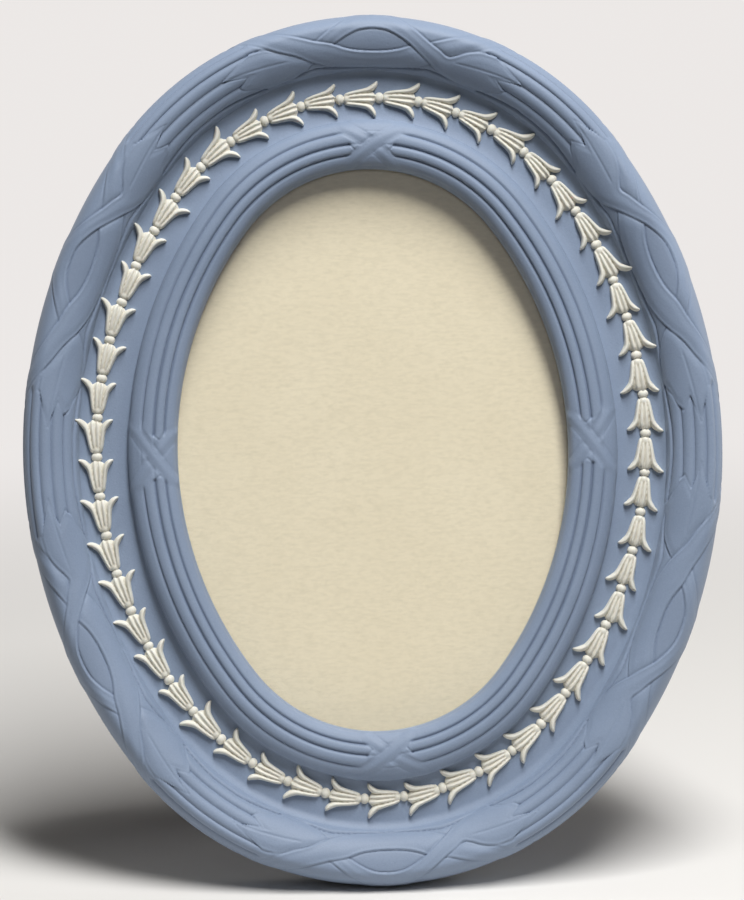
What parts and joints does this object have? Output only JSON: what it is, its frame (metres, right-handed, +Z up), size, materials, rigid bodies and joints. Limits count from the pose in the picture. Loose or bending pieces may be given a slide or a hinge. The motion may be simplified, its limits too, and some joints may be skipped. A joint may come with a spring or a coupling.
{
  "type": "picture frame",
  "caption": "Oval stoneware picture frame with reeded and ribboned mouldings and a husk garland, glazed, velvet backed and stood on a hinged easel strut.",
  "frame": {"origin": "centre of the flat that is ground on the body's lowest reed, on the surface that the frame stands on", "axes": "+Z up, the face looks towards -Y and leans back, +X to the right as seen from the front"},
  "size_m": [0.1506, 0.0752, 0.1829],
  "materials": {
    "blue_stoneware": "unglazed matt blue stoneware, slightly mottled",
    "white_stoneware": "unglazed cream-white stoneware relief with a soft sheen",
    "glass": "clear picture glass",
    "display_card": "warm cream card with a fine laid texture",
    "grey_card": "uncoated grey packing card",
    "fibreboard": "brown fibreboard",
    "velvet": "short dark blue pile",
    "brass": "stamped brass, lightly worn",
    "screw_brass": "turned brass with a slotted head",
    "hinge_steel": "nickelled sheet steel",
    "rivet_steel": "nickelled tubular rivet"
  },
  "bodies": {
    "frame": {"jasper_frame": "blue_stoneware", "husk_flowers": "white_stoneware", "husk_beads": "white_stoneware", "glass_pane": "glass", "display_card": "display_card", "packing_card": "grey_card", "back_ring": "fibreboard", "ring_velvet": "velvet", "back_panel": "fibreboard", "panel_velvet": "velvet", "turn_button_screws": "screw_brass", "hinge_fixed_leaf": "hinge_steel", "hinge_pin": "hinge_steel", "panel_rivets": "rivet_steel"},
    "strut": {"hinge_moving_leaf": "hinge_steel", "strut_board": "fibreboard", "strut_velvet": "velvet", "strut_rivets": "rivet_steel"},
    "button_upper_left": {"turn_button_upper_left": "brass"},
    "button_upper_right": {"turn_button_upper_right": "brass"},
    "button_lower_left": {"turn_button_lower_left": "brass"},
    "button_lower_right": {"turn_button_lower_right": "brass"}
  },
  "joints": [
    {"name": "strut_hinge", "type": "hinge", "parent": "frame", "child": "strut", "pos_m": [0, 0.03771, 0.12457], "axis": [-1, 0, 0], "range_deg": [0, 25]},
    {"name": "turn_upper_left", "type": "hinge", "parent": "frame", "child": "button_upper_left", "pos_m": [0.03878, 0.03749, 0.13207], "axis": [0, -0.9744, 0.225], "continuous": true},
    {"name": "turn_upper_right", "type": "hinge", "parent": "frame", "child": "button_upper_right", "pos_m": [-0.03878, 0.03749, 0.13207], "axis": [0, -0.9744, 0.225], "continuous": true},
    {"name": "turn_lower_left", "type": "hinge", "parent": "frame", "child": "button_lower_left", "pos_m": [0.03878, 0.0178, 0.04681], "axis": [0, -0.9744, 0.225], "continuous": true},
    {"name": "turn_lower_right", "type": "hinge", "parent": "frame", "child": "button_lower_right", "pos_m": [-0.03878, 0.0178, 0.04681], "axis": [0, -0.9744, 0.225], "continuous": true}
  ]
}
